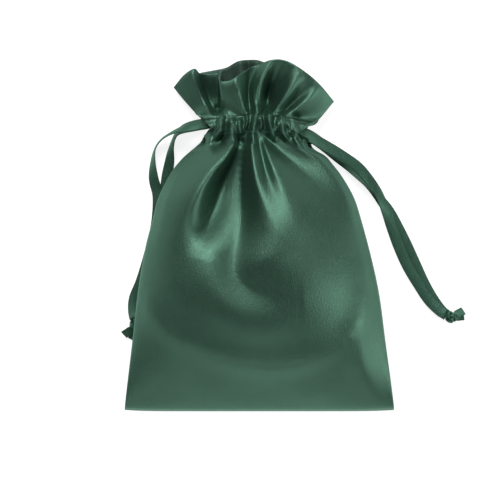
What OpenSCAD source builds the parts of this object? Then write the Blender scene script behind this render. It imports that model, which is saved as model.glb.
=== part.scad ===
// Satin drawstring gift sack, filled and lying on its back.
// +Z is up from the surface, +Y runs from the bottom seam to the mouth, +X is the sack's right.
// The origin is on the surface, under the middle of the cloth.

/* [Pouch] */
// Length of the gathered sack, bottom seam to ruffle rim
sack_len = 200; // [180:1:220]
// Width across the bottom seam
sack_w = 152.4; // [140:0.2:165]
// Rise of the front panel over the side seams at the belly
belly_rise = 32; // [20:1:36]
// Thickness of one cloth layer, lining and slack included
cloth_t = 1.2; // [0.8:0.1:1.6]

/* [Neck] */
// Half width of the drawn neck
neck_half = 25; // [23:0.5:27]
// Half height of the drawn neck
neck_r = 11; // [10:0.5:12]
// Distance of the casing's lower edge from the bottom seam
neck_y = 157; // [150:1:160]
// Width of the casing that holds the ribbons
casing_w = 10.7; // [10:0.1:11]

/* [Ruffle] */
// Half width of the ruffle at its rim
ruffle_half = 46; // [40:1:50]
// Height of the ruffle's front lip over the seams at the rim
ruffle_rise = 24; // [18:1:26]
// Depth of the waves along the rim
ruffle_wave = 2.5; // [0:0.5:3]

/* [Ribbons] */
// Width of the ribbon
ribbon_w = 6.2; // [5:0.1:7]
// Width of the ribbon where it is bunched in the casing
bunched_w = 4.2; // [3.5:0.1:4.5]
// Thickness of the ribbon
ribbon_t = 0.9; // [0.5:0.1:0.9]

/* [Hidden] */
$fn = 48;

satin = [0.20, 0.34, 0.28];
satin_dark = [0.15, 0.27, 0.22];
ribbon_green = [0.24, 0.40, 0.33];
thread_green = [0.28, 0.44, 0.37];

y0 = -sack_len / 2;
neck_x = -2;
neck_z = 12;
seam_gap = 0.65;
seam_t = 1.2;
seam_w = 6;
lift_from = 110;
panel_rows = 20;
panel_cols = 22;
casing_y0 = y0 + neck_y + 0.3;
casing_y1 = casing_y0 + casing_w;
flat_half = neck_half - neck_r;
casing_t = 1;
facing_r = 7.6;
loop_r = 8.8;
lower_band_y = casing_y0 + 2.7;
upper_band_y = casing_y0 + 7.9;
window_half = 9.7;
ruffle_y0 = casing_y1 + 0.6;
rim_y = sack_len / 2;
rim_z = 10;
rim_bow = 0.0095;
layer_t = 0.6;
layer_gap = 0.3;
ruffle_rows = 6;
ruffle_cols = 36;
knot_r = 3.4;

// ---- Shape of the pouch, by the distance s from the bottom seam ----

function half_w(s) =
    neck_half + (sack_w / 2 - neck_half - 0.1 * s) * (1 - pow(s / neck_y, 6));
function centre_x(s) = neck_x * pow(s / neck_y, 4);
function seam_z(s) =
    1.25 + 15.8 * pow(sin(180 * pow(s / neck_y, 0.7)), 0.7) + 10.75 * pow(s / neck_y, 3);
function front_h(s) =
    belly_rise * pow(sin(180 * pow(s / neck_y, 0.9)), 1.1) + neck_r * pow(s / neck_y, 3);
function crown(u) = pow(max(0, 1 - pow(abs(u), 2.4)), 0.8);
// The back hangs down to the surface and lies on it, all but flat, over the middle of its width
function sag(u) = min(1 - 0.004 * u * u, 1.12 * pow(max(0, 1 - pow(abs(u), 4)), 0.6));
function neck_lift(s) = pow(max(0, (s - lift_from) / (neck_y - lift_from)), 2);

function front_over(s, u) = front_h(s) * crown(u);
function back_under(s, u) = (seam_z(s) - seam_gap - neck_lift(s)) * sag(u);
function wall(d) = min(cloth_t, 0.35 * d);
function row_s(j) = neck_y * pow(j / panel_rows, 1.2);
function inner_y(s) = y0 + s + cloth_t * (1 - s / neck_y);

// Outer face of a panel. side is 1 for the front and -1 for the back.
function outer_point(side, s, u) = [
    centre_x(s) + half_w(s) * u,
    y0 + s,
    seam_z(s) + side * (seam_gap + (side > 0 ? front_over(s, u) : back_under(s, u)))
];

// Inner face: drawn in by the cloth's thickness from the seams and from the outer face.
function inner_point(side, s, u) =
    let (d = side > 0 ? front_over(s, u) : back_under(s, u))
    [
        centre_x(s) + (half_w(s) - cloth_t) * u,
        inner_y(s),
        seam_z(s) + side * (seam_gap + d - wall(d))
    ];

// ---- Closed solid between two grids of points with the same rows and columns ----

function grid_quad(a, b, c, d) = [[a, b, c], [a, c, d]];
module slab(top, low) {
    rows = len(top);
    cols = len(top[0]);
    n = rows * cols;
    points = concat([for (r = top) each r], [for (r = low) each r]);
    upper = [for (i = [0:rows - 2], j = [0:cols - 2])
        each grid_quad(i * cols + j, i * cols + j + 1, (i + 1) * cols + j + 1, (i + 1) * cols + j)];
    lower = [for (f = upper) [f[2] + n, f[1] + n, f[0] + n]];
    first = [for (j = [0:cols - 2]) each grid_quad(j, j + n, j + 1 + n, j + 1)];
    k = (rows - 1) * cols;
    last = [for (j = [0:cols - 2]) each grid_quad(k + j + 1, k + j + 1 + n, k + j + n, k + j)];
    left = [for (i = [0:rows - 2])
        each grid_quad((i + 1) * cols, (i + 1) * cols + n, i * cols + n, i * cols)];
    e = cols - 1;
    right = [for (i = [0:rows - 2])
        each grid_quad(i * cols + e, i * cols + e + n, (i + 1) * cols + e + n, (i + 1) * cols + e)];
    polyhedron(points, concat(first, last, left, right, upper, lower), convexity = 6);
}

module panel(side) {
    outer = [for (j = [0:panel_rows])
        [for (i = [0:panel_cols]) outer_point(side, row_s(j), side * (1 - 2 * i / panel_cols))]];
    inner = [for (j = [0:panel_rows])
        [for (i = [0:panel_cols]) inner_point(side, row_s(j), side * (1 - 2 * i / panel_cols))]];
    slab(outer, inner);
}

module front_panel() {
    color(satin) panel(1);
}

module back_panel() {
    color(satin) panel(-1);
}

// Seam allowance inside, between the two panels. side is 1 at the right and -1 at the left.
module side_seam(side) {
    near = cloth_t + 0.1;
    edges = side > 0 ? [seam_w, near] : [near, seam_w];
    rows = [for (j = [1:panel_rows]) row_s(j)];
    top = [for (s = rows) [for (e = edges)
        [centre_x(s) + side * (half_w(s) - e), inner_y(s), seam_z(s) + seam_t / 2]]];
    low = [for (r = top) [for (p = r) [p[0], p[1], p[2] - seam_t]]];
    slab([for (j = [len(top) - 1:-1:0]) top[j]], [for (j = [len(low) - 1:-1:0]) low[j]]);
}

module left_side_seam() {
    color(satin_dark) side_seam(-1);
}

module right_side_seam() {
    color(satin_dark) side_seam(1);
}

module bottom_seam() {
    half = sack_w / 2 - seam_w - 1;
    along = [row_s(2), row_s(1), row_s(0)];
    top = [for (s = along) [for (x = [-half, half]) [x, inner_y(s), seam_z(s) + seam_t / 2]]];
    low = [for (r = top) [for (p = r) [p[0], p[1], p[2] - seam_t]]];
    color(satin_dark) slab(top, low);
}

// ---- Casing: an outer band and a facing, with a channel for the ribbons between them ----

module stadium(r, ya, yb) {
    for (x = [-flat_half, flat_half])
        translate([neck_x + x, ya, neck_z]) rotate([-90, 0, 0]) cylinder(r = r, h = yb - ya);
    translate([neck_x - flat_half, ya, neck_z - r]) cube([2 * flat_half, yb - ya, 2 * r]);
}

module half_band(side, r, t, ya, yb) {
    reach = 2 * neck_half;
    split = 0.15;
    intersection() {
        difference() {
            stadium(r, ya, yb);
            stadium(r - t, ya - 1, yb + 1);
        }
        translate([neck_x - reach, ya - 1, side > 0 ? neck_z + split : neck_z - split - reach])
            cube([2 * reach, yb - ya + 2, reach]);
    }
}

// The band is open at both ends of the neck, where the ribbons come out.
module casing(side) {
    difference() {
        half_band(side, neck_r, casing_t, casing_y0, casing_y1);
        for (x = [neck_x - flat_half - neck_half, neck_x + flat_half])
            translate([x, casing_y0 - 1, neck_z - window_half])
                cube([neck_half, casing_w + 2, 2 * window_half]);
    }
}

module front_casing() {
    color(satin) casing(1);
}

module back_casing() {
    color(satin) casing(-1);
}

module front_casing_facing() {
    color(satin_dark) half_band(1, facing_r, casing_t, casing_y0, casing_y1);
}

module back_casing_facing() {
    color(satin_dark) half_band(-1, facing_r, casing_t, casing_y0, casing_y1);
}

// One row of stitches on the front and one on the back of the casing
module stitch_row(y) {
    stitch_l = 2.2;
    stitch_w = 0.6;
    stitch_t = 0.4;
    pitch = 3;
    for (x = [-12:pitch:12 - stitch_l])
        for (z = [neck_z + neck_r, neck_z - neck_r - stitch_t])
            translate([neck_x + x, y - stitch_w / 2, z]) cube([stitch_l, stitch_w, stitch_t]);
}

module upper_casing_stitches() {
    color(thread_green) stitch_row(casing_y1 - 0.8);
}

module lower_casing_stitches() {
    color(thread_green) stitch_row(casing_y0 + 0.8);
}

// Short bars of thread across the casing beside each ribbon exit
module bartacks(side) {
    bar_w = 0.8;
    bar_t = 0.5;
    for (z = [neck_z + neck_r, neck_z - neck_r - bar_t])
        translate([neck_x + side * (flat_half - 0.9) - bar_w / 2, casing_y0 + 1.8, z])
            cube([bar_w, casing_w - 3.6, bar_t]);
}

module left_bartacks() {
    color(thread_green) bartacks(-1);
}

module right_bartacks() {
    color(thread_green) bartacks(1);
}

// The bight of one ribbon round the far end of the neck, inside the channel
module ribbon_loop(side, y) {
    leg = flat_half - 1;
    translate([neck_x, y, neck_z]) {
        translate([-side * flat_half, 0, 0]) rotate([90, side > 0 ? -90 : 90, 0])
            rotate_extrude(angle = 180)
                translate([loop_r - ribbon_t / 2, -bunched_w / 2]) square([ribbon_t, bunched_w]);
        for (z = [-loop_r, loop_r])
            translate([side > 0 ? -flat_half : flat_half - leg, -bunched_w / 2, z - ribbon_t / 2])
                cube([leg, bunched_w, ribbon_t]);
    }
}

module left_ribbon_loop() {
    color(ribbon_green) ribbon_loop(-1, upper_band_y);
}

module right_ribbon_loop() {
    color(ribbon_green) ribbon_loop(1, lower_band_y);
}

// ---- Ruffle: each lip is the cloth and its turned-in facing ----

// Point of a lip at angle a round the mouth and share v of the way to the rim, inset by off
function lip_half(v) = neck_half + (ruffle_half - neck_half) * v;
function lip_x(a, v, off) = neck_x - v + (lip_half(v) - off) * cos(a);
function lip_rise(a, v) = neck_r + (ruffle_rise - neck_r) * v + ruffle_wave * v * sin(8 * a);
function lip_drop(v) = neck_r + (rim_z - 0.9 - neck_r) * v;
function lip_z(a, v, off) = neck_z + (rim_z - neck_z) * v + (a < 180
    ? (lip_rise(a, v) - off) * sin(a)
    : -(lip_drop(v) - off) * pow(-sin(a), 0.6));
function lip_y(a, v) =
    ruffle_y0 + (rim_y - rim_bow * pow(lip_x(a, 1, 0) + 5, 2) - ruffle_y0) * v;
function lip_point(a, v, off) = [lip_x(a, v, off), lip_y(a, v), lip_z(a, v, off)];

module lip(a0, a1, off, t) {
    outer = [for (j = [0:ruffle_rows]) [for (i = [0:ruffle_cols])
        lip_point(a0 + (a1 - a0) * i / ruffle_cols, j / ruffle_rows, off)]];
    inner = [for (j = [0:ruffle_rows]) [for (i = [0:ruffle_cols])
        lip_point(a0 + (a1 - a0) * i / ruffle_cols, j / ruffle_rows, off + t)]];
    slab(outer, inner);
}

seam_a = 6;

module front_ruffle() {
    color(satin) lip(seam_a, 180 - seam_a, 0, layer_t);
}

module back_ruffle() {
    color(satin) lip(180 + seam_a, 360 - seam_a, 0, layer_t);
}

module front_ruffle_facing() {
    color(satin_dark) lip(seam_a, 180 - seam_a, layer_t + layer_gap, layer_t);
}

module back_ruffle_facing() {
    color(satin_dark) lip(180 + seam_a, 360 - seam_a, layer_t + layer_gap, layer_t);
}

// The side seam where it runs on through the ruffle
module ruffle_seam(side) {
    strip_w = 2.5;
    strip_t = 1;
    rows = [for (j = [0:ruffle_rows]) j / ruffle_rows];
    top = [for (v = rows) [for (d = side > 0 ? [0, strip_w] : [strip_w, 0])
        [neck_x - v + side * (lip_half(v) - d), lip_y(side > 0 ? 0 : 180, v),
         neck_z + (rim_z - neck_z) * v + strip_t / 2]]];
    low = [for (r = top) [for (p = r) [p[0], p[1], p[2] - strip_t]]];
    slab(top, low);
}

module ruffle_left_seam() {
    color(satin_dark) ruffle_seam(-1);
}

module ruffle_right_seam() {
    color(satin_dark) ruffle_seam(1);
}

// ---- Ribbons: flat tubes along routes of [x, y, z] points at the ribbon's middle ----

right_front_route = [
    [-2.5, 60, 20.8], [13, 60, 20.6], [20, 60, 18.8], [26, 57.5, 17.2], [33, 53.5, 13.5], [41, 49, 10.3],
    [49, 44, 8], [56, 39, 6.5], [62, 32.5, 6], [67, 26, 5.6], [70, 20, 4.8], [73, 13, 3],
    [76, 4, 1.7], [80, -7, 1.7], [85, -18, 1.7], [91, -28, 1.7], [97, -37, 1.8], [103, -43, 2.6],
    [107, -45.5, 3.4]
];
right_back_route = [
    [-2.5, 60, 3.2], [14, 60, 3.2], [20, 60, 3.2], [27, 58, 3], [36, 52, 2.6], [44, 45.5, 2],
    [50, 40, 2.4], [56, 34, 2.6], [62, 28.5, 2.6], [68, 22, 2], [74, 14, 0.8],
    [79, 5, 0.5], [84, -5, 0.5], [89, -16, 0.5], [94, -27, 0.5], [99, -36, 0.6],
    [104, -43, 1.2], [107.5, -46, 2]
];
left_front_route = [
    [-1.5, 65.2, 20.8], [-17, 65.2, 20.6], [-24, 65, 18.4], [-30, 64, 16.2], [-37, 62.5, 13.8],
    [-44, 61, 12], [-51, 58.5, 8.5], [-57, 54.5, 5.5], [-60.5, 49, 3.5], [-61.5, 41, 2],
    [-61, 32, 1.7], [-58.5, 22, 1.7], [-59.5, 6, 1.7], [-63.5, -11, 1.7], [-68, -26, 1.7],
    [-72, -36, 1.7], [-72.5, -43, 2.4], [-71.5, -48, 3.4]
];
left_back_route = [
    [-1.5, 65.2, 3.2], [-18, 65.2, 3.2], [-24, 65.2, 3.2], [-31, 64, 3.2], [-38, 62.8, 3],
    [-44, 61, 3], [-48.5, 57.5, 3], [-50.8, 51, 2.8], [-52, 42, 1.6], [-53.5, 33, 0.8], [-54.5, 22, 0.5],
    [-56, 7, 0.5], [-60.5, -10, 0.5], [-65, -25, 0.5], [-69.5, -36, 0.6], [-70.5, -43, 1.2],
    [-71, -47.5, 2]
];
right_knot_at = [109.5, -47, 3.3];
left_knot_at = [-71.5, -51, 3.3];

function unit(v) = v / norm(v);
function tangent(p, i) = unit(p[min(i + 1, len(p) - 1)] - p[max(i - 1, 0)]);
function flat_side(t) = unit(cross(t, [0, 0, 1]));
function ease(t) = let (c = min(1, max(0, t))) c * c * (3 - 2 * c);
// Half section of the flat tube, as shares of its half width and half thickness
section = [[1, 0.4], [0.8, 1], [-0.8, 1], [-1, 0.4], [-1, -0.4], [-0.8, -1], [0.8, -1], [1, -0.4]];

module ribbon(route, first_w, full_w) {
    spread_over = 5;
    n = len(route);
    m = len(section);
    rings = [for (i = [0:n - 1])
        let (t = tangent(route, i), a = flat_side(t), b = cross(a, t),
             w = first_w + (full_w - first_w) * ease((i - 2) / (spread_over - 2)))
        [for (q = section) route[i] + a * q[0] * w / 2 + b * q[1] * ribbon_t / 2]];
    sides = [for (i = [0:n - 2], j = [0:m - 1])
        each grid_quad(i * m + j, i * m + (j + 1) % m, (i + 1) * m + (j + 1) % m, (i + 1) * m + j)];
    caps = concat([for (j = [1:m - 2]) [0, j + 1, j]],
                  [for (j = [1:m - 2]) [(n - 1) * m, (n - 1) * m + j, (n - 1) * m + j + 1]]);
    polyhedron([for (r = rings) each r], [for (f = concat(sides, caps)) [f[2], f[1], f[0]]],
               convexity = 8);
}

module left_front_strand() {
    color(ribbon_green) ribbon(left_front_route, bunched_w, ribbon_w);
}

module left_back_strand() {
    color(ribbon_green) ribbon(left_back_route, bunched_w, ribbon_w);
}

module right_front_strand() {
    color(ribbon_green) ribbon(right_front_route, bunched_w, ribbon_w);
}

module right_back_strand() {
    color(ribbon_green) ribbon(right_back_route, bunched_w, ribbon_w);
}

// An overhand knot: a round core with two wraps across it. turn is the ribbon's heading there.
module knot(at, turn) {
    wrap_r = 0.9;
    intersection() {
        translate(at) rotate([0, 0, turn]) {
            sphere(r = knot_r - 0.3);
            for (d = [-1, 1])
                rotate([0, 90 + 25 * d, 0]) translate([0, 0, 0.8 * d]) rotate_extrude()
                    translate([knot_r - wrap_r, 0]) circle(r = wrap_r);
        }
        translate([at[0] - 10, at[1] - 10, 0]) cube([20, 20, 20]);
    }
}

module left_knot() {
    color(ribbon_green) knot(left_knot_at, -100);
}

module right_knot() {
    color(ribbon_green) knot(right_knot_at, -30);
}

module left_ribbon_tails() {
    color(ribbon_green) {
        ribbon([[-73, -53.4, 4.2], [-75.5, -55.5, 3], [-78.5, -57.5, 2.2]], 4, 5);
        ribbon([[-71.4, -53.8, 1.8], [-72, -57, 0.9], [-73.5, -60, 0.6]], 4, 5);
    }
}

module right_ribbon_tails() {
    color(ribbon_green) {
        ribbon([[111.5, -45.7, 4], [114, -44.4, 3.2], [117, -43, 2.4]], 4, 5);
        ribbon([[111.5, -47, 2], [114, -46.6, 1.2], [117.5, -46, 0.8]], 4, 5);
    }
}

front_panel();
back_panel();
left_side_seam();
right_side_seam();
bottom_seam();
front_casing();
back_casing();
front_casing_facing();
back_casing_facing();
upper_casing_stitches();
lower_casing_stitches();
left_bartacks();
right_bartacks();
left_ribbon_loop();
right_ribbon_loop();
front_ruffle();
back_ruffle();
front_ruffle_facing();
back_ruffle_facing();
ruffle_left_seam();
ruffle_right_seam();
left_front_strand();
left_back_strand();
left_knot();
left_ribbon_tails();
right_front_strand();
right_back_strand();
right_knot();
right_ribbon_tails();
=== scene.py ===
"""Satin drawstring gift sack: cloth, ribbons, thread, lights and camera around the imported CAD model."""
import math

import bpy
import numpy as np
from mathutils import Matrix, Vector


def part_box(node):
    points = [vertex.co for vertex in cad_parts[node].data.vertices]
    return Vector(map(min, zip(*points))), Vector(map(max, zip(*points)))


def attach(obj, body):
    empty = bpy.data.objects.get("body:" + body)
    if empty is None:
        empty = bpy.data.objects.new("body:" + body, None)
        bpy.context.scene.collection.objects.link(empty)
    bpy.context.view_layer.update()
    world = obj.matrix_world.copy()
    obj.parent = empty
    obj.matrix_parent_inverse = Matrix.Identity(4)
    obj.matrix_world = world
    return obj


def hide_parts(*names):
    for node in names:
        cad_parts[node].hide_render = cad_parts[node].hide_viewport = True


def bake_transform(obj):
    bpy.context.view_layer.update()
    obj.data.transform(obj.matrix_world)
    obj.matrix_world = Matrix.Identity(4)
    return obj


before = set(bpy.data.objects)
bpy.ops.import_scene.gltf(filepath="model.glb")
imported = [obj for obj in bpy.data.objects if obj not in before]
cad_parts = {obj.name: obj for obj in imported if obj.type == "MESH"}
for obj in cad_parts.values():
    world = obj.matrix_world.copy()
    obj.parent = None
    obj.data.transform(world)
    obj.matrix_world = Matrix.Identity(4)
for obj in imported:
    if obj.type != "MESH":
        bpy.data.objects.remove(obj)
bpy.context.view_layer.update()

MM = 0.001

# ---------------------------------------------------------------- sizes, from the frame, in mm


def box_mm(node):
    low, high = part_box(node)
    return np.array(low) / MM, np.array(high) / MM


PANEL_LOW, PANEL_HIGH = box_mm("front_panel")
CASING_LOW, CASING_HIGH = box_mm("front_casing")
BOTTOM_Y = PANEL_LOW[1]
NECK_Y = PANEL_HIGH[1]
CASING_Y0, CASING_Y1 = CASING_LOW[1], CASING_HIGH[1]
NECK_X, NECK_Z = -2.0, 12.0        # middle of the neck
NECK_HALF = 29.5                   # half its width
NECK_TOP = CASING_HIGH[2] - NECK_Z  # half its height
BELLY_RISE = 32.0                  # of the front over the side seams
RIBBON_W = 6.35                    # quarter inch ribbon

# ---------------------------------------------------------------- camera


def make_camera():
    """Straight down on the sack, with the mouth at the top of the picture."""
    height, view_x, view_y = 1.4, -0.0057, -0.0084
    view_width, view_z = 0.2843, 0.015         # the width in view at a height of view_z
    data = bpy.data.cameras.new("camera")
    data.sensor_width = 36
    data.lens = data.sensor_width * (height - view_z) / view_width
    data.clip_start, data.clip_end = 0.05, 10
    camera = bpy.data.objects.new("camera", data)
    camera.location = (view_x, view_y, height)
    bpy.context.scene.collection.objects.link(camera)
    bpy.context.scene.camera = camera


make_camera()

# ---------------------------------------------------------------- small tools


def smooth_line(points, count):
    """A Catmull-Rom line through the rows of points, as count rows evenly spaced along it in its
    first two columns."""
    steps = 16
    p = np.array(points, float)
    ends = np.vstack([2 * p[0] - p[1], p, 2 * p[-1] - p[-2]])
    fine = []
    for i in range(len(p) - 1):
        a, b, c, d = ends[i:i + 4]
        t = np.linspace(0, 1, steps, endpoint=False)[:, None]
        fine.append(0.5 * (2 * b + (c - a) * t + (2 * a - 5 * b + 4 * c - d) * t ** 2
                           + (3 * b - a - 3 * c + d) * t ** 3))
    fine = np.vstack(fine + [p[-1:]])
    along = distance_along(fine[:, :2])
    return sample(fine, along, np.linspace(0, along[-1], count))


def distance_along(line):
    """Distance of each point from the first one, along the line."""
    return np.concatenate([[0], np.cumsum(np.linalg.norm(np.diff(line, axis=0), axis=1))])


def sample(rows, known, wanted):
    """Each column of the rows, which stand at known places, at the wanted places."""
    return np.column_stack([np.interp(wanted, known, column) for column in rows.T])


def ease(t):
    """From 0 to 1 as t goes from 0 to 1, level at both ends."""
    t = np.clip(t, 0, 1)
    return t * t * (3 - 2 * t)


def unit(v):
    return v / np.maximum(np.linalg.norm(v, axis=-1, keepdims=True), 1e-9)


def new_object(name, verts_mm, faces):
    mesh = bpy.data.meshes.new(name)
    mesh.from_pydata((np.asarray(verts_mm) * MM).tolist(), [], faces)
    mesh.polygons.foreach_set("use_smooth", [True] * len(mesh.polygons))
    mesh.update()
    obj = bpy.data.objects.new(name, mesh)
    bpy.context.scene.collection.objects.link(obj)
    return obj


def grid_faces(rows, cols, closed=False):
    """Quads of a grid of rows by cols points; closed joins the last column to the first."""
    last = cols if closed else cols - 1
    return [(r * cols + c, r * cols + (c + 1) % cols,
             (r + 1) * cols + (c + 1) % cols, (r + 1) * cols + c)
            for r in range(rows - 1) for c in range(last)]


def turned_over(faces):
    return [face[::-1] for face in faces]


def select_only(objects):
    for other in bpy.context.selected_objects:
        other.select_set(False)
    for obj in objects:
        obj.select_set(True)
    bpy.context.view_layer.objects.active = objects[0]


def thicken(obj, thick_mm, offset):
    """Make a sheet solid: offset is -1 for all the thickness behind it, 0 for half on each side."""
    solid = obj.modifiers.new("thickness", "SOLIDIFY")
    solid.thickness, solid.offset = thick_mm * MM, offset
    select_only([obj])
    bpy.ops.object.modifier_apply(modifier=solid.name)


# ---------------------------------------------------------------- materials


class Nodes:
    """A material's node tree, with one line for each node."""

    def __init__(self, name):
        self.material = bpy.data.materials.new(name)
        self.material.use_nodes = True
        self.tree = self.material.node_tree
        self.tree.nodes.clear()

    def add(self, kind, inputs=None, **settings):
        node = self.tree.nodes.new(kind)
        for key, value in settings.items():
            setattr(node, key, value)
        for key, value in (inputs or {}).items():
            if isinstance(value, bpy.types.NodeSocket):
                self.tree.links.new(value, node.inputs[key])
            else:
                node.inputs[key].default_value = value
        return node


# The colour sockets of a Mix node come after those of its other data types
MIX_A, MIX_B, MIX_RESULT = 6, 7, 2


def satin_material(name, colour, roughness, weave_mm, metallic):
    """Satin: fine threads two ways, a slubby grain, soft tinted sheen and uneven colour."""
    n = Nodes(name)
    where = n.add("ShaderNodeTexCoord").outputs["Object"]
    broad = n.add("ShaderNodeTexNoise", {"Vector": where, "Scale": 28, "Detail": 3})
    grain = n.add("ShaderNodeTexNoise",
                  {"Vector": where, "Scale": 1000, "Detail": 3, "Roughness": 0.75})
    per_thread = 1 / (weave_mm * MM)
    threads = []
    for scale in ((per_thread, per_thread / 14, per_thread / 4),
                  (per_thread / 9, per_thread, per_thread / 4)):
        mapping = n.add("ShaderNodeMapping", {"Vector": where, "Scale": scale})
        noise = n.add("ShaderNodeTexNoise", {"Vector": mapping.outputs[0], "Scale": 1, "Detail": 1})
        threads.append(noise.outputs["Fac"])
    warp, weft = threads
    weave = n.add("ShaderNodeMix", {"Factor": 0.35, "A": warp, "B": weft})
    relief = n.add("ShaderNodeMix", {"Factor": 0.55, "A": weave.outputs[0],
                                     "B": grain.outputs["Fac"]}).outputs[0]
    dark = tuple(c * 0.82 for c in colour)
    light = tuple(min(1, c * 1.16) for c in colour)
    shade = n.add("ShaderNodeMix", {
        "Factor": broad.outputs["Fac"], MIX_A: (*dark, 1), MIX_B: (*light, 1)}, data_type="RGBA")
    thread_shade = n.add("ShaderNodeMapRange", {"Value": relief, "To Min": 0.7, "To Max": 1.15})
    tone = n.add("ShaderNodeMix", {
        "Factor": 0.6, MIX_A: shade.outputs[MIX_RESULT], MIX_B: thread_shade.outputs[0]},
        data_type="RGBA", blend_type="MULTIPLY")
    rough = n.add("ShaderNodeMapRange", {"Value": relief, "From Min": 0.3, "From Max": 0.7,
                                         "To Min": roughness - 0.10, "To Max": roughness + 0.10})
    bump = n.add("ShaderNodeBump", {"Height": relief, "Strength": 1.0, "Distance": 0.00034})
    shader = n.add("ShaderNodeBsdfPrincipled", {
        "Base Color": tone.outputs[MIX_RESULT], "Roughness": rough.outputs[0],
        "Normal": bump.outputs[0], "Metallic": metallic,
        "Specular IOR Level": 0.4, "Specular Tint": (0.7, 1.0, 0.85, 1),
        "Sheen Weight": 0.04, "Sheen Roughness": 0.4, "Sheen Tint": (0.55, 0.9, 0.72, 1)})
    n.add("ShaderNodeOutputMaterial", {"Surface": shader.outputs[0]})
    return n.material


# Each has its name, colour, roughness, width of a thread in mm, and how metallic its gloss is
SATIN = satin_material("satin", (0.070, 0.152, 0.108), 0.45, 0.24, 0.88)
FACING = satin_material("satin_dull_side", (0.05, 0.092, 0.072), 0.55, 0.24, 0.4)
RIBBON = satin_material("ribbon_satin", (0.050, 0.122, 0.084), 0.46, 0.2, 0.75)
THREAD = satin_material("sewing_thread", (0.060, 0.140, 0.100), 0.5, 0.1, 0.2)


def finish_piece(obj, material):
    """Give a piece its material."""
    obj.data.materials.clear()
    obj.data.materials.append(material)
    return obj


# ---------------------------------------------------------------- ribbons
# Routes repeat the CAD model's, in mm, and each point has the ribbon's roll about it, in degrees.

RIGHT_FRONT = [
    (-2.5, 60, 20.8, 0), (13, 60, 20.6, 0), (20, 60, 18.8, 5), (26, 57.5, 17.2, 10),
    (33, 53.5, 13.5, 12), (41, 49, 10.3, 8), (49, 44, 8, 5), (56, 39, 6.5, 10), (62, 32.5, 6, 25),
    (67, 26, 5.6, 40),
    (70, 20, 4.8, 40), (73, 13, 3, 18), (76, 4, 1.7, 5), (80, -7, 1.7, 3), (85, -18, 1.7, 3),
    (91, -28, 1.7, 3), (97, -37, 1.8, 3), (103, -43, 2.6, 6), (107, -45.5, 3.4, 10)]
RIGHT_BACK = [
    (-2.5, 60, 3.2, 0), (14, 60, 3.2, 0), (20, 60, 3.2, 0), (27, 58, 3, 0), (36, 52, 2.6, 5),
    (44, 45.5, 2, 20), (50, 40, 2.4, 45), (56, 34, 2.6, 62), (62, 28.5, 2.6, 62), (68, 22, 2, 40),
    (74, 14, 0.8, 8), (79, 5, 0.5, 0), (84, -5, 0.5, 0), (89, -16, 0.5, 0), (94, -27, 0.5, 0),
    (99, -36, 0.6, 0), (104, -43, 1.2, 4), (107.5, -46, 2, 8)]
LEFT_FRONT = [
    (-1.5, 65.2, 20.8, 0), (-17, 65.2, 20.6, 0), (-24, 65, 18.4, -5), (-30, 64, 16.2, -15),
    (-37, 62.5, 13.8, -30), (-44, 61, 12, -55), (-51, 58.5, 8.5, -75), (-57, 54.5, 5.5, -80),
    (-60.5, 49, 4, -80), (-61.5, 41, 3, -60), (-61, 32, 1.9, -28), (-58.5, 22, 1.7, -5),
    (-59.5, 6, 1.7, 0), (-63.5, -11, 1.7, 0), (-68, -26, 1.7, 0), (-72, -36, 1.7, 0),
    (-72.5, -43, 2.4, 5), (-71.5, -48, 3.4, 10)]
LEFT_BACK = [
    (-1.5, 65.2, 3.2, 0), (-18, 65.2, 3.2, 0), (-24, 65.2, 3.2, 0), (-31, 64, 3.2, 0),
    (-38, 62.8, 3, -10), (-44, 61, 3, -40), (-48.5, 57.5, 3, -70), (-50.8, 51, 2.8, -65),
    (-52, 42, 1.6, -30), (-53.5, 33, 0.8, -8), (-54.5, 22, 0.5, 0), (-56, 7, 0.5, 0),
    (-60.5, -10, 0.5, 0), (-65, -25, 0.5, 0), (-69.5, -36, 0.6, 0), (-70.5, -43, 1.2, 3),
    (-71, -47.5, 2, 6)]

RIBBON_THICK, RIBBON_BUNCHED = 0.26, 2.0       # thickness, and half width where it's bunched
# The section's points across the ribbon, as shares of its half width, there on its upper face and
# back on its lower one. Its edges are a little thicker, as woven.
HALF_RING = np.linspace(-1, 1, 13)
RING = np.concatenate([HALF_RING, HALF_RING[::-1]])
RING_FACE = np.repeat([0.5, -0.5], len(HALF_RING))


def turned(across, up, degrees):
    """The two directions turned about the line that they are square to, at each of its points."""
    c, s = np.cos(np.radians(degrees))[:, None], np.sin(np.radians(degrees))[:, None]
    return across * c + up * s, up * c - across * s


def ribbon_rings(line, roll, half_width):
    """Rings of the slightly cupped section along the line."""
    along = unit(np.gradient(line, axis=0))
    level = unit(np.cross(along, [0, 0, 1]))
    side, up = turned(level, np.cross(level, along), roll)
    edge = 1 + 0.5 * (np.abs(RING) > 0.9)
    lift = 0.35 * (1 - RING ** 2) - 0.2 + RING_FACE * RIBBON_THICK * edge
    return (line[:, None, :] + side[:, None, :] * (RING * half_width[:, None])[:, :, None]
            + up[:, None, :] * lift[None, :, None])


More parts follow.
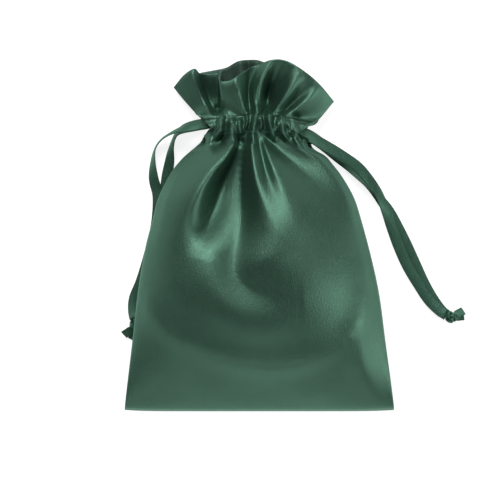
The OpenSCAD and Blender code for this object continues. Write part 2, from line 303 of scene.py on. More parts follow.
def ribbon_piece(name, route, half_width=None, count=110, floor=0.15):
    """A ribbon along a route of (x, y, z, roll). It never dips below the floor."""
    line = smooth_line(route, count)
    centre, roll = line[:, :3], line[:, 3]
    if half_width is None:
        # bunched in the casing, then opening to its full width
        opened = ease((np.linspace(0, 1, count) - 0.06) / 0.14)
        half_width = RIBBON_BUNCHED + (RIBBON_W / 2 - RIBBON_BUNCHED) * opened
    rings = ribbon_rings(centre, roll, half_width)
    short = np.maximum(0, floor - rings[:, :, 2].min(axis=1))
    rings[:, :, 2] += short[:, None]
    centre = centre + np.column_stack([np.zeros((count, 2)), short])
    sides = len(RING)
    first, last = count * sides, count * sides + 1         # the middles of the two cut ends
    base = (count - 1) * sides
    faces = grid_faces(count, sides, closed=True)
    faces += [(k, first, (k + 1) % sides) for k in range(sides)]
    faces += [(base + (k + 1) % sides, last, base + k) for k in range(sides)]
    points = np.vstack([rings.reshape(-1, 3), rings[0].mean(axis=0), rings[-1].mean(axis=0)])
    return finish_piece(new_object(name, points, turned_over(faces)), RIBBON), centre


def knot_piece(name, at, heading):
    """An overhand knot: one trefoil of bunched ribbon, pulled tight."""
    count, sides, half_wide, half_thick = 150, 14, 1.25 * 1.35, 1.25 * 0.8
    t = np.linspace(0, 2 * math.pi, count, endpoint=False)
    line = np.column_stack([(np.sin(t) + 2 * np.sin(2 * t)) * 0.95,
                            (np.cos(t) - 2 * np.cos(2 * t)) * 0.8,
                            -np.sin(3 * t) * 1.25])
    along = unit(np.roll(line, -1, 0) - np.roll(line, 1, 0))
    out = unit(line - along * (line * along).sum(1, keepdims=True))
    side = np.cross(along, out)
    a = np.linspace(0, 2 * math.pi, sides, endpoint=False)
    crease = 1 + 0.10 * np.sin(3 * a)[None, :] + 0.05 * np.sin(7 * t)[:, None]
    rings = (line[:, None, :] + side[:, None, :] * (np.cos(a) * half_wide * crease)[:, :, None]
             + out[:, None, :] * (np.sin(a) * half_thick * crease)[:, :, None])
    c, s = math.cos(math.radians(heading)), math.sin(math.radians(heading))
    points = rings.reshape(-1, 3) @ np.array([[c, s, 0], [-s, c, 0], [0, 0, 1]]) + np.array(at)
    points[:, 2] = np.maximum(points[:, 2], 0.05)
    base = (count - 1) * sides
    faces = grid_faces(count, sides, closed=True)
    faces += [(base + k, base + (k + 1) % sides, (k + 1) % sides, k) for k in range(sides)]
    return finish_piece(new_object(name, points, faces), RIBBON)


def tails_piece(name, routes):
    """The two cut ends beyond the knot, opening out from it, as one piece."""
    count = 24
    width = np.interp(np.linspace(0, 1, count), [0, 0.4, 1], [1.2, 2.34, 2.6])
    parts = [ribbon_piece(f"{name}_{k}", route, width, count)[0] for k, route in enumerate(routes)]
    select_only(parts)
    bpy.ops.object.join()
    parts[0].name = parts[0].data.name = name
    return parts[0]


def make_drawstring(side, front_route, back_route, knot_at, heading, tail_routes):
    """One ribbon's two strands, knot and tails, which all slide together."""
    body = f"{side}_drawstring"
    knot = knot_piece(f"{side}_knot_visual", knot_at, heading)
    tails = tails_piece(f"{side}_tails_visual", tail_routes)
    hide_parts(f"{side}_knot")
    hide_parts(f"{side}_ribbon_tails")
    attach(knot, body)
    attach(tails, body)
    for layer, route, extra in (("front", front_route, [knot, tails]), ("back", back_route, [])):
        strand, centre = ribbon_piece(f"{side}_{layer}_ribbon", route)
        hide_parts(f"{side}_{layer}_strand")
        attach(strand, body)


make_drawstring("right", RIGHT_FRONT, RIGHT_BACK, (109.5, -47, 3.3), -30,
                [[(110.5, -46.6, 3.6, 10), (113, -45, 3.4, 25), (116.8, -43.2, 2.6, 30)],
                 [(110.5, -47.4, 2.4, 0), (113.5, -46.8, 1.4, -8), (117.2, -46.2, 0.9, -12)]])
make_drawstring("left", LEFT_FRONT, LEFT_BACK, (-71.5, -51, 3.3), -100,
                [[(-72.3, -52.4, 3.6, 10), (-75, -55, 3.2, 20), (-78, -57.2, 2.4, 25)],
                 [(-71.5, -52.8, 2.2, 0), (-72, -56.5, 1.3, -5), (-73.5, -60, 0.9, -10)]])

# ---------------------------------------------------------------- the cloth's shape

# Outline of the pouch from above, as (y, x) points up each side.
LEFT_EDGE = [(-100, -77.6), (-64, -73), (-32, -69.3), (-8, -65.3), (9, -61), (22, -57.5), (36.5, -50),
             (47.3, -41), (53, -36.2), (57.3, -32.8), (62, -31.2), (67, -32)]
RIGHT_EDGE = [(-100, 77), (-63, 71.6), (-34, 67.7), (-12, 63), (10.5, 57), (22.3, 53), (33.6, 46.5),
              (42, 40), (49, 34.6), (53, 31.8), (57, 29.2), (62, 27.8), (67, 28.5)]

# The front ruffle, as lines of cloth from the casing out to the rim, left to right. Each is the x
# where it leaves the casing, then a point a third of the way out, one two thirds out, one on the rim.
FRONT_LINES = [
    (-31.5, (-36.5, 69.5, 9), (-43.3, 77, 6.5), (-49.5, 84.8, 4)),        # left seam
    (-29.5, (-33.4, 73.5, 11), (-39.5, 83.5, 10.5), (-43.5, 91.6, 8.5)),
    (-27.8, (-30.6, 75, 11.5), (-35.6, 85.5, 12), (-37.4, 95, 11.5)),     # corner of the left lobe
    (-26, (-28, 73, 5), (-31.6, 83.4, 4.2), (-34, 92.4, 7)),              # hollow beside the tube
    (-24.4, (-25.6, 72.4, 4.4), (-27.8, 83, 3.9), (-28, 92.5, 5.6)),
    (-22.6, (-23.4, 72.4, 4.8), (-24, 83.4, 4.1), (-23.4, 93.5, 5.6)),
    (-21, (-22, 73.5, 10), (-22.6, 84, 9), (-21.6, 95, 9.6)),             # left wall of the tube
    (-19.4, (-21.6, 73, 16.5), (-22.6, 81.5, 18.5), (-23.4, 90.5, 18)),
    (-16.6, (-19.8, 72.5, 21), (-21.6, 79.6, 24.8), (-22.6, 87, 25.4)),   # top of the tube
    (-12.6, (-14.2, 72, 23), (-15.6, 79.8, 26), (-17, 87.2, 26.6)),
    (-9, (-9.4, 72, 23.8), (-11.4, 81, 27), (-12.6, 90, 25.6)),
    (-6.4, (-6, 72.3, 17.5), (-6.8, 82.6, 16), (-5.2, 95, 17)),           # valley right of the tube
    (-3.2, (-2.8, 73, 22.8), (-3.6, 81, 21), (1.6, 98, 17)),              # short pucker
    (-0.4, (0.2, 73.4, 20.6), (0.8, 84.6, 21.6), (6.6, 99.4, 20)),
    (2.4, (2.8, 73.4, 12.5), (4.4, 82, 10.5), (11.4, 99.4, 20.8)),        # big dark hollow
    (5.4, (5.8, 72.4, 13.4), (8.4, 81, 13), (16.4, 98, 21.4)),
    (8.6, (9.4, 71.6, 22), (15.6, 80.4, 23), (22.6, 94.6, 21)),           # ridge of the right lobe
    (12, (13.6, 70.4, 16.8), (20.6, 78, 16.4), (29, 89.8, 20.4)),         # second hollow
    (15.6, (17.6, 69, 20.4), (26.4, 76, 20.4), (34, 85.6, 17)),
    (20, (21.8, 66.6, 15.5), (29.6, 71.4, 14), (38.4, 81, 12)),
    (27.5, (32.2, 64.6, 10.5), (37.2, 70.2, 9), (42.4, 76.4, 7)),         # right seam
]
BACK_LINES = [
    (-31.5, (-36.5, 69.5, 8.4), (-43.3, 77, 5.9), (-49.5, 84.8, 3.4)),
    (-27, (-31, 73, 3), (-37.5, 82, 1.4), (-42.5, 90, 1.2)),
    (-22, (-25.5, 74, 1.2), (-31, 84, 0.8), (-35, 93, 0.9)),
    (-17, (-20, 75, 1.2), (-24.5, 85, 0.8), (-27, 94.6, 1)),
    (-12, (-14, 76, 1.8), (-17.5, 86.5, 1.2), (-19.5, 96.2, 2)),
    (-7, (-8, 76.5, 2.8), (-10.5, 88, 2.6), (-12.5, 99.6, 3)),
    (-2, (-2, 77, 1.6), (-3.4, 88.6, 1.4), (-4.6, 100.6, 2.4)),
    (3, (4, 76.5, 2.8), (5, 87.6, 2.2), (4.6, 98.6, 1.4)),
    (8, (10, 75.5, 1.8), (13, 85.5, 1.2), (15, 95.5, 1)),
    (13, (16.5, 73.5, 3.2), (21, 82, 2), (25.5, 90, 1.2)),
    (19, (23, 70, 3.6), (29, 77, 1.8), (35, 84, 1.6)),
    (27.5, (32.2, 64.6, 9.8), (37.2, 70.2, 8.2), (42.4, 76.4, 6.4)),
]


def edge_line(points):
    """x as a smooth function of y through the points."""
    line = smooth_line([(y, x) for y, x in points], 240)
    return lambda y: np.interp(y, line[:, 0], line[:, 1])


# The casing ends a little inside the cloth above and below it, where the ribbons come out.
RIGHT_NOTCH, LEFT_NOTCH = 6.0, 3.0
NOTCH_Y, NOTCH_HALF = 63.8, 2.7


def notch(y):
    return np.exp(-((y - NOTCH_Y) / NOTCH_HALF) ** 2)


plain_left, plain_right = edge_line(LEFT_EDGE), edge_line(RIGHT_EDGE)


def left_edge(y):
    return plain_left(y) + LEFT_NOTCH * notch(y)


def right_edge(y):
    return plain_right(y) - RIGHT_NOTCH * notch(y)


def share_up(y):
    """Share of the way from the bottom seam to the neck."""
    return np.clip((y - BOTTOM_Y) / (NECK_Y - BOTTOM_Y), 0, 1)


def seam_height(y):
    """Height of the side seams, which leave the floor at the bottom's corners."""
    t = share_up(y)
    return 1.25 + 15.8 * np.sin(math.pi * t ** 0.7).clip(0) ** 0.7 + 10.75 * t ** 3


def front_rise(y):
    """How far the front's middle rises over the side seams."""
    t = share_up(y)
    return BELLY_RISE * np.sin(math.pi * t ** 0.9).clip(0) ** 1.1 + NECK_TOP * t ** 3


class Fold:
    """A ridge, or a valley if its height is negative, along a line of (x, y, height, width) points.

    steep makes its right side, walking along the line, narrower and its left side wider.
    lean moves its crest sideways, as a share of its height, to the right of the line.
    power shapes its sides: 2 is round, less is a sharper crease with sides that fade slowly."""

    def __init__(self, points, steep=0.0, lean=0.0, power=2.0):
        self.line = smooth_line(points, 30)
        self.steep, self.lean, self.power = steep, lean, power

    def push(self, x, y):
        """Height and sideways move at each place, blended smoothly where the line bends."""
        blend = 2.2
        pieces = []
        for a, b in zip(self.line[:-1], self.line[1:]):
            step = b[:2] - a[:2]
            length = np.linalg.norm(step)
            t = (((x - a[0]) * step[0] + (y - a[1]) * step[1]) / length ** 2).clip(0, 1)
            dx, dy = x - a[0] - t * step[0], y - a[1] - t * step[1]
            far = np.hypot(dx, dy)
            right = np.tanh((dx * step[1] - dy * step[0]) / length)
            wide = (a[3] + t * (b[3] - a[3])) * (1 - self.steep * right)
            height = (a[2] + t * (b[2] - a[2])) * np.exp(-(far / wide) ** self.power)
            pieces.append((far, height, step / length))
        nearest = np.min([far for far, _, _ in pieces], axis=0)
        total, value, move_x, move_y = (np.zeros(x.shape) for _ in range(4))
        for far, height, (along_x, along_y) in pieces:
            weight = np.exp(-(far - nearest) / blend)
            total += weight
            value += weight * height
            move_x += weight * height * self.lean * along_y
            move_y -= weight * height * self.lean * along_x
        return value / total, move_x / total, move_y / total


# Folds that run down from the neck into the belly, left to right
BODY_FOLDS = [
    # the curl of cloth beside the neck, and the little hollow inside it
    Fold([(-22.5, 63, 1, 2.4), (-27, 56.5, 3.4, 2.6), (-29.3, 51, 3.4, 3), (-28, 46, 1.6, 3.4),
          (-31, 38, 0, 7)]),
    Fold([(-19.5, 60, -1, 2.6), (-22.5, 53, -3.6, 3), (-25, 49, -2.4, 3), (-30, 40, 0, 5)]),
    # the long ridge on the left, with a long wall down its inner side
    Fold([(-15, 63, 1, 2.2), (-15.4, 57, 4.6, 3), (-17, 50.5, 7, 4.2), (-22, 43.5, 8.4, 6),
          (-28.4, 36.6, 8.8, 7.6), (-35, 27, 8, 9), (-41, 15.5, 5.8, 12), (-47, 3, 3.4, 15),
          (-58, -13, 0, 17)], steep=-0.3, lean=-0.2),
    # the deep valley right of it, and a second one that a low ridge parts it from
    Fold([(-12, 57, -1, 2.4), (-12.6, 50, -5, 3.4), (-14.8, 43, -8.6, 5), (-18, 36, -11.6, 6.4),
          (-21.6, 27, -14, 8), (-25, 17, -14, 9.2), (-28, 9, -11.6, 10), (-30, 2, -7.4, 10.4),
          (-31.6, -5, -3, 10), (-33, -13, 0, 11)], steep=0.25),
    Fold([(-8.4, 50, -1, 2.6), (-9.6, 42, -4.6, 4), (-10.4, 32, -8, 6.2), (-10.6, 21, -9.4, 9.4),
          (-10.8, 9, -9.4, 10.6), (-12.4, -2, -8.6, 11), (-14.4, -12, -7.8, 12), (-13.6, -21, -7, 13),
          (-7, -29, -6.2, 15), (3, -34, -4.6, 15), (14, -36, -2.2, 14), (24, -36, 0, 12)],
         steep=0.05, power=1.8),
    # the low crest that curls round the hollow at the second valley's end
    Fold([(-21, 3, 0, 7), (-26, -9, 0.6, 9), (-27, -22, 0.8, 10), (-21, -36, 0.8, 10),
          (-9, -45, 0.8, 11), (6, -51, 0.6, 12), (20, -54, 0, 12)], steep=-0.2),
    # the small pocket under the casing
    Fold([(-12, 55.5, -2.4, 1.7), (-9.6, 51.5, -3.2, 2.2), (-7, 54, -2.2, 1.6)]),
    # the two ridges right of the middle, which run out on the belly
    Fold([(-4.2, 63, 0.6, 1.5), (-4.8, 55, 3.8, 2.4), (-4.4, 44, 5.2, 3.9), (-2.4, 30, 5, 5.8),
          (1.8, 18, 4, 8), (8, 5, 2.6, 11), (18, -8, 0, 15)], steep=0.15),
    Fold([(-1.2, 54, -2, 1.6), (0.8, 46, -3.6, 2.6), (3.2, 36, -3.6, 3.6), (6.4, 26, -2.2, 5),
          (10, 14, -0.8, 7), (14, 0, 0, 9)]),
    Fold([(2.2, 53, 0.6, 1.8), (4, 46, 3, 2.8), (7.4, 37, 4, 5), (12.6, 24, 3.6, 8),
          (18.6, 11, 2.4, 11), (26, -4, 0, 15)], steep=0.15),
    Fold([(3, 57, -2.4, 1.8), (8.4, 51, -4.2, 3.8), (15.5, 44.5, -4.6, 6), (25, 35.5, -3.6, 8.5),
          (35, 24.5, -1.8, 10), (44, 10, 0, 12)]),
    # right shoulder
    Fold([(11.5, 62, 0.6, 1.8), (14.5, 57.5, 2.4, 2.4), (22.5, 51, 2.6, 3.8), (31.5, 44.6, 2.4, 5),
          (43, 33, 2.2, 6.4), (50.4, 20.4, 2, 7.6), (55, 6, 1.6, 9), (58, -10, 0, 10)], steep=0.15),
    Fold([(24, 57.5, 0, 2.2), (31, 51.5, -1.6, 2.6), (38, 45.5, -1, 3.4), (45, 37, 0, 5)]),
    # the broad fold low on the belly
    Fold([(-66, -30, 0, 8), (-60, -46, 2, 8), (-44, -60, 3, 8.5), (-22, -70, 3.6, 8.5),
          (6, -74.5, 3.8, 8.5), (30, -70, 3.6, 8.5), (48, -59, 3, 8), (57, -44, 1.6, 8),
          (60, -30, 0, 8)], steep=0.15),
    # long soft fold down the right side
    Fold([(57, 4, 0, 5), (59.4, -20, 1.8, 6), (59, -42, 2.6, 7), (57, -58, 3.2, 7.5),
          (58.5, -74, 3, 8), (65, -90, 1.6, 7), (72, -99, 0, 5)], steep=-0.2),
    # faint unevenness of cloth over a soft filling
    Fold([(-60, -72, 0, 9), (-40, -84, 1.2, 8), (-12, -90, 0, 9)]),
    Fold([(-50, -14, 0, 9), (-46, -32, 1.4, 10), (-38, -50, 0, 11)]),
    Fold([(8, -88, 0, 8), (30, -90, 1.2, 8), (54, -84, 0, 8)]),
]

# Puckers where the drawn ribbons bunch the casing: where each starts below and ends above, as
# (x, y), then its height and half width.
PUCKERS = [((-28.6, 52), (-27.6, 69), 3, 1.9), ((-24.5, 54), (-20.6, 71), 5, 2.1),
           ((-15.4, 50), (-16.8, 70), 5.6, 2.3), ((-10.8, 55), (-11.6, 68), 4.6, 1.4),
           ((-8, 58), (-7.6, 71), 3.4, 1), ((-4, 50), (-2.2, 73), 6, 1.8),
           ((-0.6, 57), (1.2, 69), 3.6, 0.9), ((7.2, 52), (4.6, 74), 5.8, 1.9),
           ((9.6, 57), (9.2, 67), 3.4, 0.9), ((14.6, 53), (11.2, 71), 6, 2),
           ((17, 57), (15.4, 68), 3.6, 1), ((21.6, 51), (18.6, 69), 5, 1.8),
           ((26, 50), (23.6, 67), 3.2, 1.5)]
PUCKER_SINK, SINK_FADE = 3.1, 5.0  # how far the cloth sinks between two puckers, and fades beyond
# The back is gathered more finely, as it lies flat. The fine waves die out in its ruffle, which
# has broad deep ones over its middle and right.
BACK_WAVES, BACK_WAVE_HEIGHT = 19, 1.9
RUFFLE_WAVES, RUFFLE_WAVE_HEIGHT = 7, 7.6
STITCH_ROWS = (CASING_Y0 + 0.9, CASING_Y1 - 0.9)
# Small hollows of the ruffle close to the casing: x, y, depth and radius
DENTS = [(-24, 72, 2.4, 3), (3.4, 70, 2, 2), (20, 67.2, 2, 2)]
# Least height of the cloth, by side: 1 is the front and -1 the back
LOWEST = {1: 1.6, -1: 0.4}
EXIT_Y = (62.6, 64.8)      # middle of the right and left exits before the casing is drawn down
EXIT_HALF = 3.4            # half their height
RIBBON_Y = (59.8, 64.8)    # middle of the right and left ribbons in the casing

# Rows and columns of the grid of points of each panel
ARCS = 200
ROWS_BODY, ROWS_CASING, ROWS_RUFFLE = 150, 22, 56
ROWS = ROWS_BODY + ROWS_CASING + ROWS_RUFFLE


def pucker_height(x, y):
    """Bunched cloth across the casing, sunk between the puckers and a little at the stitches."""
    total = np.zeros(x.shape)
    for (x0, y0), (x1, y1), height, width in PUCKERS:
        up = (y - y0) / (y1 - y0)
        middle = x0 + (x1 - x0) * up + 0.5 * np.sin(up * 6 + x0)
        swell = ease(up / 0.3) * ease((1 - up) / 0.3)
        total += height * swell * np.exp(-((x - middle) / (width * (0.8 + 0.35 * swell))) ** 2)
    pinch = sum(np.exp(-((y - row) / 1.1) ** 2) for row in STITCH_ROWS)
    beyond = (np.abs(y - 0.5 * sum(STITCH_ROWS)) - 4.5).clip(0)
    return total * (1 - 0.12 * pinch) - PUCKER_SINK * np.exp(-(beyond / SINK_FADE) ** 2)


def crown(k):
    """Share of the front's rise across the sack, from 0 at one side seam to 0 at the other."""
    return (1 - np.abs(k) ** 2.4).clip(0) ** 0.8


def round_end(x):
    """Share of the neck's half height at x: flat over the middle, round towards its ends."""
    flat_half = 17.0
    past = (np.abs(x - NECK_X) - flat_half).clip(0) / (NECK_HALF - flat_half)
    return np.sqrt((1 - past ** 2).clip(0)) ** 0.9


def waves(count, share):
    """As share goes from 0 to 2, count ridges from 0 up to 1 and back."""
    return 0.5 - 0.5 * np.cos(math.pi * count * share)


def inside(k, margin):
    """1, but eased to 0 over the last margin of k at both edges."""
    return ease((1 - np.abs(k)) / margin)


def spread(lines):
    """u of each line, from -1 to 1, by the length of cloth along the rim."""
    along = distance_along(np.array([line[3] for line in lines], float))
    return 2 * along / along[-1] - 1


def across(lines, index, u):
    """A smooth curve through one point of every line, as rows of values at each u."""
    known = spread(lines)
    values = np.array([np.atleast_1d(line[index]) for line in lines], float)
    keyed = smooth_line(np.column_stack([known, np.zeros(len(known)), values]), 500)
    return sample(keyed[:, 2:], keyed[:, 0], u)


def casing_bow(k):
    """How far the ends of the casing are drawn down."""
    return 2.8 * k ** 2 + 3 * k.clip(0) ** 3


def held_up(x, y, k, z):
    """The ribbons inside hold the casing up, also when they are pulled outwards."""
    least = 22.2 - 0.3 * (np.abs(x - NECK_X) - 26).clip(0)
    raised = least + 0.5 * np.logaddexp(0, (z - least) / 0.5)
    over = np.exp(-((y - np.where(k > 0, *RIBBON_Y)) / 3.8) ** 6)
    return z + over * inside(k, 0.04) * (raised - z)


def cubic_through(a, b, c, d, w):
    """The cubic that passes a, b, c and d at w of 0, a third, two thirds and 1."""
    return (a * (w - 1 / 3) * (w - 2 / 3) * (w - 1) * -4.5 + b * w * (w - 2 / 3) * (w - 1) * 13.5
            + c * w * (w - 1 / 3) * (w - 1) * -13.5 + d * w * (w - 1 / 3) * (w - 2 / 3) * 4.5)


def ruffle_grid(lines, side, u, gathered, top):
    """The ruffle's points, along its lines, from the casing's last row, which is top."""
    base_x, third, two_thirds, rim = (across(lines, k, u) for k in range(4))
    base = np.column_stack([base_x, top[:, 1], np.full(ARCS, NECK_Z)])
    base[:, 2] += side * NECK_TOP * 0.8 * round_end(base_x[:, 0])
    share = np.linspace(0, 1, ROWS_RUFFLE + 1)[1:, None]      # of the way out to the rim
    curve = cubic_through(base, third, two_thirds, rim, share[..., None])
    # the cubic's slope at the base is taken out near it, so that the ruffle leaves level
    slope = -5.5 * base[:, 2] + 9 * third[:, 2] - 4.5 * two_thirds[:, 2] + rim[:, 2]
    curve[..., 2] -= slope * ((1 - share * 3).clip(0) ** 2 * share)
    held = 1 - ease(share[..., None] / 0.5)
    points = curve + (top - base)[None] * held
    x, y, z = points[..., 0], points[..., 1], points[..., 2]
    if side < 0:
        wide = ease((u + 0.32) / 0.22) * ease((1 - u) / 0.22)
        deep = RUFFLE_WAVE_HEIGHT * wide * waves(RUFFLE_WAVES, u + 1 + 0.06 * np.sin(7 * u))
        z += deep * ease(share / 0.5) * (1 - 0.35 * share)
        fine = BACK_WAVE_HEIGHT * waves(BACK_WAVES, gathered + 1) * inside(u, 0.1)
        z += fine * (1 - ease(share / 0.45))
    else:
        for dent_x, dent_y, depth, radius in DENTS:
            near = np.hypot(x - dent_x, y - dent_y) / radius
            z -= depth * np.exp(-near ** 2) * (1 - ease((share - 0.35) / 0.2))
        z[:] = held_up(x, y, u[None], z)
    return points


def cloth_grid(lines, height, side):
    """Points of one panel of cloth from the bottom seam to the ruffle's rim, rows by columns."""
    u = np.linspace(-1, 1, ARCS)
    base_x = across(lines, 0, u)[:, 0]
    gathered = 2 * (base_x - base_x[0]) / (base_x[-1] - base_x[0]) - 1
    up = np.linspace(0, 1, ROWS_BODY, endpoint=False) ** 0.93
    body_y = BOTTOM_Y + (CASING_Y0 - BOTTOM_Y) * up
    casing_y = np.linspace(CASING_Y0, CASING_Y1, ROWS_CASING)
    y = np.repeat(np.concatenate([body_y, casing_y])[:, None], ARCS, axis=1)
    bunch = ease((y - 5) / 50)
    k = u[None, :] * (1 - bunch) + gathered[None, :] * bunch
    x = left_edge(y) + (right_edge(y) - left_edge(y)) * (k + 1) / 2
    z, move_x, move_y = height(x, y, k)
    # the casing is drawn into a slight arc, and the bottom edge sags a little between its corners
    bow = casing_bow(k) * ease((y - 43) / 14)
    drop = 1.0 * (1 - k ** 6) * ease((-88 - y) / 12)
    lower = np.stack([x + move_x, y + move_y - bow - drop, z], axis=-1)
    grid = np.concatenate([lower, ruffle_grid(lines, side, u, gathered, lower[-1])])
    grid[..., 2] = np.maximum(grid[..., 2], LOWEST[side])
    return grid


def exit_gap(y, k):
    """1 at the gaps that the side seams leave for the ribbons at both ends of the casing."""
    middle = np.where(k > 0, *EXIT_Y)
    return np.exp(-((y - middle) / EXIT_HALF) ** 4) * ease((np.abs(k) - 0.72) / 0.2)


def front_height(x, y, k):
    """Height of the front, and how far its folds move it sideways."""
    body = ease((CASING_Y0 + 3 - y) / 12)
    z_body = seam_height(y) + 0.3 + front_rise(y) * crown(k)
    z_neck = NECK_Z + 0.3 + (NECK_TOP + 1.7) * round_end(x)
    z = z_body * body + z_neck * (1 - body) + 10 * exit_gap(y, k) * (1 - round_end(x))
    fade = ease((CASING_Y0 + 5 - y) / 9) * inside(k, 0.10)
    move_x, move_y = np.zeros(x.shape), np.zeros(x.shape)
    for fold in BODY_FOLDS:
        rise, dx, dy = fold.push(x, y)
        z = z + rise * fade
        move_x, move_y = move_x + dx * fade, move_y + dy * fade
    z = z + pucker_height(x, y) * inside(k, 0.08)
    return held_up(x, y - casing_bow(k), k, z), move_x, move_y


def back_height(x, y, k):
    """Height of the back, which lies on the floor and isn't moved sideways."""
    body = ease((CASING_Y0 + 3 - y) / 12)
    lie = (1 - np.abs(k) ** 4).clip(0) ** 0.6
    z_body = seam_height(y) - 0.3 - (seam_height(y) - 0.9) * lie
    z_neck = NECK_Z - 0.3 - (NECK_TOP - 0.2) * round_end(x)
    z = z_body * body + z_neck * (1 - body) - 5.5 * exit_gap(y, k) * (1 - round_end(x))
    fine = BACK_WAVE_HEIGHT * waves(BACK_WAVES, k + 1) * ease((y - 36) / 18) * inside(k, 0.08)
    return np.maximum(z, 0.5) + fine, np.zeros(x.shape), np.zeros(x.shape)


def outward(grid, side):
    """Unit normals of a grid of points, pointing out of the sack."""
    normal = np.cross(np.gradient(grid, axis=1), np.gradient(grid, axis=0))
    return unit(normal) * side


def cloth_piece(name, grid, side, material, thick=0.3):
    """A sheet of cloth whose outer face goes through the grid's points."""
    faces = grid_faces(*grid.shape[:2])
    obj = new_object(name, grid.reshape(-1, 3), faces if side > 0 else turned_over(faces))
    thicken(obj, thick, -1)
    return finish_piece(obj, material)


# Inside the tunnel, by side: height of the facing off the neck's middle, that of the outer cloth,
# and how much of the outer cloth's gathers the facing has
FACING_LEVELS = {1: (4.2, 11.5, 0.6), -1: (6.4, 9.9, 1.2)}


def facing_grid(grid, side):
    """The layer turned in behind the casing and the ruffle: against the outer cloth along the rim
    and the stitches, and away from it between them, where the ribbons run."""
    top = grid[ROWS_BODY:]
    inward = -outward(grid, side)[ROWS_BODY:]
    rows = np.arange(len(top))[:, None]
    tunnel = np.sin(np.pi * ((rows - 2) / (ROWS_CASING - 4)).clip(0, 1)) ** 0.7
    gap = 0.55 * ease((len(top) - 1 - rows) / 3) + 0.05
    layer = top + inward * np.repeat(gap, ARCS, axis=1)[..., None]
    level, middle, depth = FACING_LEVELS[side]
    inner = layer.copy()
    ends = round_end(layer[..., 0])
    gathers = layer[..., 2] - NECK_Z - side * middle * ends
    inner[..., 2] = NECK_Z + side * level * ends + depth * gathers
    return layer + (inner - layer) * tunnel[..., None]


# ---------------------------------------------------------------- thread, seams and bights

STITCH_LONG, STITCH_PITCH, STITCH_W, STITCH_T = 2.1, 2.9, 0.5, 0.36
TACK_AT = 0.17             # share of the way across from each edge, where the bartacks are
TACK_W = 0.34
ALLOWANCE_W, MOUTH_ALLOWANCE_W, ALLOWANCE_THICK = 5.5, 3.5, 0.55
LOOP_R, LOOP_STRAIGHT = 8.8, 14.0          # radius of the bights, and the legs past the neck's middle


def tube_faces(count, sides):
    """Faces of a tube of count rings of points, closed at both ends."""
    last = (count - 1) * sides
    ends = [tuple(reversed(range(sides))), tuple(range(last, last + sides))]
    return grid_faces(count, sides, closed=True) + ends


def capsules(name, runs, width, height):
    """Short threads as one piece. Each run is (points along it, unit vectors out of the cloth)."""
    sides = 8
    a = np.linspace(0, 2 * math.pi, sides, endpoint=False)
    points, faces = [], []
    for line, out in runs:
        count = len(line)
        along = unit(np.gradient(line, axis=0))
        side = unit(np.cross(along, out))
        swell = np.sqrt(np.sin(np.linspace(0.12, 0.88, count) * math.pi))[:, None, None]
        ring = (line[:, None, :] + side[:, None, :] * (np.cos(a) * width / 2)[None, :, None] * swell
                + out[:, None, :] * (np.sin(a) * height / 2)[None, :, None] * swell)
        first = sum(len(part) for part in points)
        points.append(ring.reshape(-1, 3))
        faces += [tuple(first + v for v in face) for face in tube_faces(count, sides)]
    return finish_piece(new_object(name, np.vstack(points), faces), THREAD)


def stitch_runs(grid, side, row):
    """Dashes along one row of the cloth, a little proud of it in their middles."""
    line, out = grid[row], outward(grid, side)[row]
    along = distance_along(line)
    proud = 0.16 * np.sin(np.linspace(0, math.pi, 7)) ** 0.5 - 0.02
    runs = []
    for begin in np.arange(9, along[-1] - 10, STITCH_PITCH):     # clear of the side seams
        at = np.linspace(begin, begin + STITCH_LONG, len(proud))
        normal = unit(sample(out, along, at))
        runs.append((sample(line, along, at) + normal * proud[:, None], normal))
    return runs


def bartack_runs(grid, side, end):
    """A dense zigzag across the casing beside a ribbon's exit."""
    column = int(ARCS * (TACK_AT if end < 0 else 1 - TACK_AT))
    out = outward(grid, side)
    slant = np.linspace(-1, 1, 5)[:, None]
    runs = []
    for row in range(ROWS_BODY + 4, ROWS_BODY + ROWS_CASING - 4):
        for step in (0, 0.5):
            a, b = grid[row, column - 1], grid[row, column + 2]
            near = grid[row + 1, column] - grid[row, column]
            normal = out[row, column]
            middle = (a + b) / 2 + near * step + normal * 0.22
            line = middle + unit(b - a) * 0.62 * slant + near * 0.35 * slant
            runs.append((line, np.repeat(normal[None], len(line), axis=0)))
    return runs


def strip_piece(name, grid):
    obj = new_object(name, grid.reshape(-1, 3), grid_faces(*grid.shape[:2]))
    thicken(obj, ALLOWANCE_THICK, 0)
    return finish_piece(obj, FACING)


def seam_strip(name, rows, width, end):
    """A seam allowance: from an edge of the sack inwards, midway between its two panels."""
    wanted = np.linspace(0.5, width, 8)
    strips = []
    for row in rows:
        lines = []
        for grid in (front_grid, back_grid):
            line = (grid[row] if end < 0 else grid[row, ::-1])[:60]
            lines.append(sample(line, np.abs(line[:, 0] - line[0, 0]), wanted))
        strips.append(lines[1] + 0.5 * (lines[0] - lines[1]))
    return strip_piece(name, np.array(strips))


def bottom_strip(name):
    """The bottom's seam allowance, which lies nearer to the back."""
    middle_y = front_grid[:, ARCS // 2, 1]
    rows = [r for r in range(1, ROWS_BODY) if middle_y[r] - middle_y[0] < ALLOWANCE_W]
    strips = [back_grid[r] + 0.3 * (front_grid[r] - back_grid[r]) for r in rows]
    return strip_piece(name, np.array(strips)[:, 2:-2])


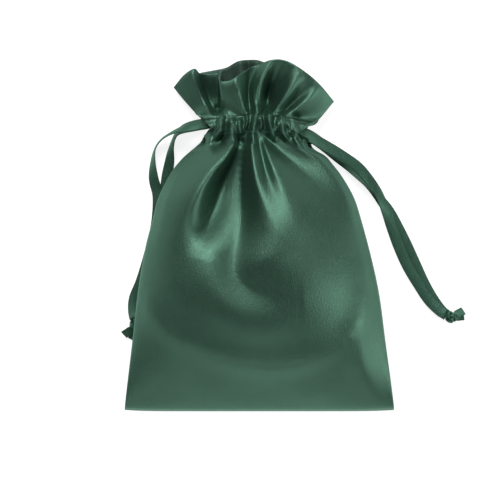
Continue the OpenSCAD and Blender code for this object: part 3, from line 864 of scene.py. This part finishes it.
def loop_piece(name, side, y):
    """The bight of a ribbon round the far end of the casing, creased by the gathers."""
    near, far = NECK_X + side * 1.5, NECK_X - side * LOOP_STRAIGHT
    turn = np.linspace(math.pi / 2, -math.pi / 2, 40)
    leg = np.linspace(near, far, 20, endpoint=False)
    level = np.full(len(leg), LOOP_R)
    x = np.concatenate([leg, far - side * LOOP_R * np.cos(turn), leg[::-1]])
    z = NECK_Z + np.concatenate([level, LOOP_R * np.sin(turn), -level])
    line = np.column_stack([x, np.full(len(x), y), z])
    wide = np.array([0, 1.0, 0])
    out = unit(np.cross(wide, unit(np.gradient(line, axis=0)))) * side
    lift = RING_FACE * RIBBON_THICK + 0.25 * np.sin(RING * 5)
    rings = (line[:, None, :] + wide * (RING * RIBBON_BUNCHED)[None, :, None]
             + out[:, None, :] * lift[None, :, None])
    obj = new_object(name, rings.reshape(-1, 3), tube_faces(len(line), len(RING)))
    return finish_piece(obj, RIBBON)


# ---------------------------------------------------------------- the sack, put together

front_grid = cloth_grid(FRONT_LINES, front_height, 1)
back_grid = cloth_grid(BACK_LINES, back_height, -1)

front = cloth_piece("front_cloth", front_grid, 1, SATIN)
back = cloth_piece("back_cloth", back_grid, -1, SATIN)
front_facing = cloth_piece("front_facing", facing_grid(front_grid, 1), 1, FACING,
                           0.25)
back_facing = cloth_piece("back_facing", facing_grid(back_grid, -1), -1, FACING,
                          0.25)
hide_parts("front_panel", "front_casing", "front_ruffle")
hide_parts("back_panel", "back_casing", "back_ruffle")
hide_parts("front_casing_facing", "front_ruffle_facing")
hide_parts("back_casing_facing", "back_ruffle_facing")

bending = [front, back, front_facing, back_facing]      # the pieces whose transforms are baked into their meshes below, not hung on the sack's body
for word, row in (("lower", ROWS_BODY + 2), ("upper", ROWS_BODY + ROWS_CASING - 3)):
    runs = stitch_runs(front_grid, 1, row) + stitch_runs(back_grid, -1, row)
    stitches = capsules(f"{word}_stitches", runs, STITCH_W, STITCH_T)
    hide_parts(f"{word}_casing_stitches")
    bending.append(stitches)
SIDE_ROWS, MOUTH_ROWS = range(4, ROWS_BODY, 2), range(ROWS_BODY + ROWS_CASING + 4, ROWS, 2)
for word, end, loop_y in (("left", -1, 65.2), ("right", 1, 60)):
    runs = bartack_runs(front_grid, 1, end) + bartack_runs(back_grid, -1, end)
    tack = capsules(f"{word}_bartack_thread", runs, TACK_W, TACK_W)
    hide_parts(f"{word}_bartacks")
    seam = seam_strip(f"{word}_seam_allowance", SIDE_ROWS, ALLOWANCE_W, end)
    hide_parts(f"{word}_side_seam")
    top_seam = seam_strip(f"{word}_mouth_seam", MOUTH_ROWS, MOUTH_ALLOWANCE_W, end)
    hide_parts(f"ruffle_{word}_seam")
    loop = loop_piece(f"{word}_ribbon_bight", end, loop_y)
    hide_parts(f"{word}_ribbon_loop")
    bending += [tack, top_seam]
    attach(seam, "sack")
    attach(loop, "sack")
bottom = bottom_strip("bottom_seam_allowance")
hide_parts("bottom_seam")
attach(bottom, "sack")
for piece in bending:
    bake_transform(piece)

# ---------------------------------------------------------------- floor and light


def make_floor():
    """White paper just under the sack. Most of its brightness is its own, so shadows stay faint."""
    half, top = 3.0, -0.0002
    mesh = bpy.data.meshes.new("floor")
    mesh.from_pydata([(-half, -half, top), (half, -half, top), (half, half, top), (-half, half, top)],
                     [], [(0, 1, 2, 3)])
    floor = bpy.data.objects.new("floor", mesh)
    bpy.context.scene.collection.objects.link(floor)
    n = Nodes("floor_paper")
    shader = n.add("ShaderNodeBsdfPrincipled", {
        "Base Color": (0.35, 0.35, 0.35, 1), "Roughness": 0.9,
        "Emission Color": (1, 1, 1, 1), "Emission Strength": 0.86})
    n.add("ShaderNodeOutputMaterial", {"Surface": shader.outputs[0]})
    floor.data.materials.append(n.material)


# Each lamp's name, place and size in metres, and power in watts. All of them face the sack.
LIGHTS = [("key_top", (-0.18, 0.95, 0.95), (0.8, 0.6), 16.5),
          ("side_right", (1.15, -0.25, 0.62), (0.3, 1.0), 8.5),
          ("side_left", (-1.1, -0.4, 0.75), (0.4, 0.7), 1),
          ("front_fill", (-0.2, -1.2, 0.7), (1.4, 0.5), 4.6)]
LIT_POINT = Vector((0, 0, 0.02))


def make_lights():
    for name, place, size, power in LIGHTS:
        data = bpy.data.lights.new(name, "AREA")
        data.shape, data.size, data.size_y, data.energy = "RECTANGLE", size[0], size[1], power
        light = bpy.data.objects.new(name, data)
        light.location = place
        light.rotation_mode = "QUATERNION"
        light.rotation_quaternion = (LIT_POINT - Vector(place)).to_track_quat("-Z", "Y")
        bpy.context.scene.collection.objects.link(light)
    world = bpy.data.worlds.new("studio")
    world.use_nodes = True
    colour, strength = world.node_tree.nodes["Background"].inputs[:2]
    colour.default_value, strength.default_value = (1, 1, 1, 1), 0.025
    bpy.context.scene.world = world
    bpy.context.scene.view_settings.view_transform = "Standard"


make_floor()
make_lights()
